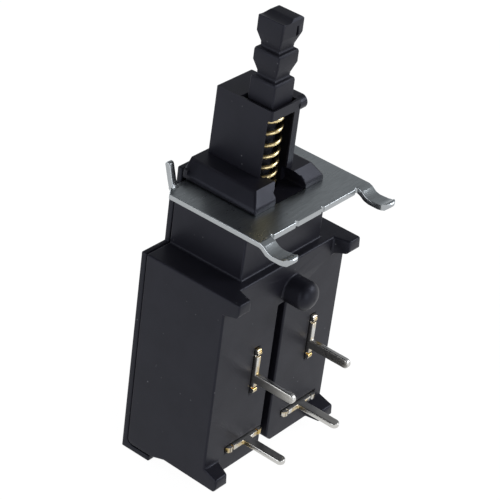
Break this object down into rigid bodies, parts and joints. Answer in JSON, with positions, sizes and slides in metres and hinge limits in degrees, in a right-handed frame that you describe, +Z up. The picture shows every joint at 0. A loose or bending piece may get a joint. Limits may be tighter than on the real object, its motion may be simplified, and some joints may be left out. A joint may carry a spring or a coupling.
{
  "type": "latching push button switch",
  "caption": "Board mounted latching push button switch: a deep case with a tower, a sprung notched plunger, a steel bracket with ears, a locating boss and blade terminals in two poles",
  "frame": {"origin": "on the flat underside of the case, below the axis of the plunger", "axes": "+Z up along the plunger's travel, -Y the way the terminals leave towards the board, +X to the right when the terminals face the viewer"},
  "size_m": [0.016, 0.0141, 0.0411],
  "materials": {
    "case_plastic": "black glass filled moulding with a satin shine",
    "cover_plastic": "black moulding with a satin shine",
    "plunger_plastic": "black moulding with a satin shine",
    "carriage_plastic": "natural acetal",
    "bracket_steel": "plated sheet steel with bright sheared edges",
    "spring_wire": "gold coloured plated spring wire",
    "latch_steel": "drawn steel wire",
    "leaf_bronze": "rolled phosphor bronze strip",
    "arm_bronze": "rolled phosphor bronze",
    "terminal_tin": "tinned brass with bare brass at the sheared edges",
    "contact_silver": "bright silver alloy"
  },
  "bodies": {
    "housing": {"case": "case_plastic", "rear_cover": "cover_plastic", "bracket": "bracket_steel", "return_spring": "spring_wire", "latch_leaf_spring": "leaf_bronze", "upper_terminal_left": "terminal_tin", "upper_terminal_right": "terminal_tin", "lower_terminal_left": "terminal_tin", "lower_terminal_right": "terminal_tin", "fixed_contact_left": "contact_silver", "fixed_contact_right": "contact_silver"},
    "plunger_unit": {"plunger": "plunger_plastic", "carriage": "carriage_plastic", "pusher_spring_left": "latch_steel", "pusher_spring_right": "latch_steel"},
    "arm_left": {"contact_arm_left": "arm_bronze", "moving_contact_left": "contact_silver"},
    "arm_right": {"contact_arm_right": "arm_bronze", "moving_contact_right": "contact_silver"},
    "sprung_pusher_left": {"pusher_left": "carriage_plastic"},
    "sprung_pusher_right": {"pusher_right": "carriage_plastic"},
    "latch": {"latch_wire": "latch_steel"}
  },
  "joints": [
    {"name": "plunger_press", "type": "slide", "parent": "housing", "child": "plunger_unit", "axis": [0, 0, -1], "range_m": [0, 0.0045], "stiffness_N_per_m": 450, "springref_m": -0.0003, "deforming": ["return_spring"]},
    {"name": "arm_rock_left", "type": "hinge", "parent": "housing", "child": "arm_left", "pos_m": [-0.0027, -0.0011, 0.0094], "axis": [1, 0, 0], "range_deg": [-16, 0]},
    {"name": "arm_rock_right", "type": "hinge", "parent": "housing", "child": "arm_right", "pos_m": [0.0048, -0.0011, 0.0094], "axis": [1, 0, 0], "range_deg": [-16, 0]},
    {"name": "pusher_slide_left", "type": "slide", "parent": "plunger_unit", "child": "sprung_pusher_left", "axis": [0, 1, 0], "range_m": [0, 0.0003], "stiffness_N_per_m": 200},
    {"name": "pusher_slide_right", "type": "slide", "parent": "plunger_unit", "child": "sprung_pusher_right", "axis": [0, 1, 0], "range_m": [0, 0.0003], "stiffness_N_per_m": 200},
    {"name": "latch_swing", "type": "hinge", "parent": "housing", "child": "latch", "pos_m": [0, 0.00345, 0.00732], "axis": [0, 1, 0], "range_deg": [0, 7.83]}
  ],
  "couplings": [
    {"joint": "arm_rock_left", "follows": "plunger_press", "rad_per_m": -62.056},
    {"joint": "arm_rock_right", "follows": "plunger_press", "rad_per_m": -62.056},
    {"joint": "latch_swing", "follows": "plunger_press", "rad_per_m": 30.327}
  ]
}
